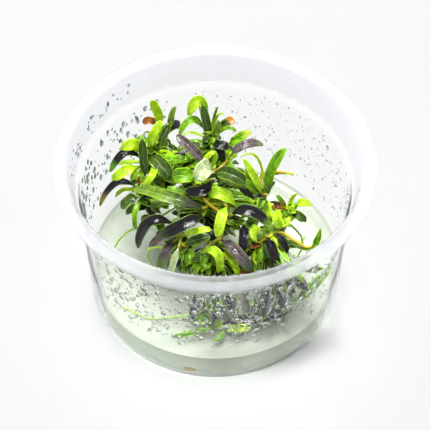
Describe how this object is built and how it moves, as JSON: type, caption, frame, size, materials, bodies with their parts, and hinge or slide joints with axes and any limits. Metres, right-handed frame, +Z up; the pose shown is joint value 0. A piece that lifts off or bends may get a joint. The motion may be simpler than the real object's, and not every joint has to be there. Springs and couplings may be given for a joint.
{
  "type": "potted aquarium plant",
  "caption": "Clump of narrow-leaved water plants, dark velvet, mauve and lime, on rhizomes rooted in a layer of nutrient gel in a clear round culture cup with a wide sloping rim.",
  "frame": {"origin": "middle of the cup's flat underside, on the surface that it stands on", "axes": "+Z up through the mouth of the cup, -Y toward the front of the plant, +X to its right"},
  "size_m": [0.1, 0.1, 0.0628],
  "materials": {
    "clear_cup": "gloss",
    "nutrient_gel": "gloss",
    "rhizome": "satin",
    "velvet_leaf": "satin",
    "mauve_leaf": "satin",
    "dark_leaf": "satin",
    "olive_leaf": "satin",
    "mid_leaf": "satin",
    "lime_leaf": "satin",
    "pale_leaf": "satin",
    "withered_leaf": "matte"
  },
  "bodies": {
    "root": {"cup": "clear_cup", "gel": "nutrient_gel", "rhizome_back_left": "rhizome", "tall_lime_leaf": "lime_leaf", "front_lime_leaf": "lime_leaf", "upright_olive_leaf": "olive_leaf", "rusty_withered_leaf": "withered_leaf", "grey_velvet_leaf": "dark_leaf", "bent_lime_leaf": "lime_leaf", "arched_brown_leaf": "velvet_leaf", "low_lime_leaf": "lime_leaf", "striped_green_leaf": "dark_leaf", "broad_green_leaf": "dark_leaf", "rhizome_back": "rhizome", "tall_dark_leaf": "dark_leaf", "nodding_lime_leaf": "lime_leaf", "arched_green_leaf": "mid_leaf", "orange_tipped_leaf": "dark_leaf", "yellow_tipped_leaf": "mid_leaf", "glossy_black_leaf": "velvet_leaf", "rhizome_centre": "rhizome", "mauve_velvet_leaf": "mauve_leaf", "beaded_grey_leaf": "mauve_leaf", "triangular_green_leaf": "dark_leaf", "wet_pale_leaf": "pale_leaf", "round_green_leaf": "mid_leaf", "black_crescent_leaf": "velvet_leaf", "long_olive_leaf": "olive_leaf", "long_black_leaf": "velvet_leaf", "hanging_lime_leaf": "lime_leaf", "iridescent_black_leaf": "velvet_leaf", "pale_lime_leaf": "lime_leaf", "rhizome_right": "rhizome", "leaning_lime_leaf": "lime_leaf", "tall_green_leaf": "mid_leaf", "narrow_black_leaf": "velvet_leaf", "rhizome_far_right": "rhizome", "small_lime_leaf": "lime_leaf", "pointed_lime_leaf": "lime_leaf", "rhizome_left": "rhizome", "long_brown_leaf": "velvet_leaf", "left_green_leaf": "dark_leaf", "rhizome_front_left": "rhizome", "wet_black_leaf": "velvet_leaf", "textured_grey_leaf": "mauve_leaf", "hanging_brown_leaf": "mauve_leaf", "mint_leaf": "pale_leaf", "ribbed_grey_leaf": "dark_leaf", "rhizome_front": "rhizome", "mauve_front_leaf": "mauve_leaf", "arched_lime_leaf": "lime_leaf", "hanging_black_leaf": "velvet_leaf", "rhizome_front_right": "rhizome", "wet_grey_leaf": "velvet_leaf", "right_black_leaf": "velvet_leaf", "paddle_leaf": "mid_leaf", "rhizome_fore": "rhizome", "fore_dark_leaf": "velvet_leaf", "fore_green_leaf": "mid_leaf", "leaf_on_wall": "mid_leaf"}
  },
  "joints": []
}
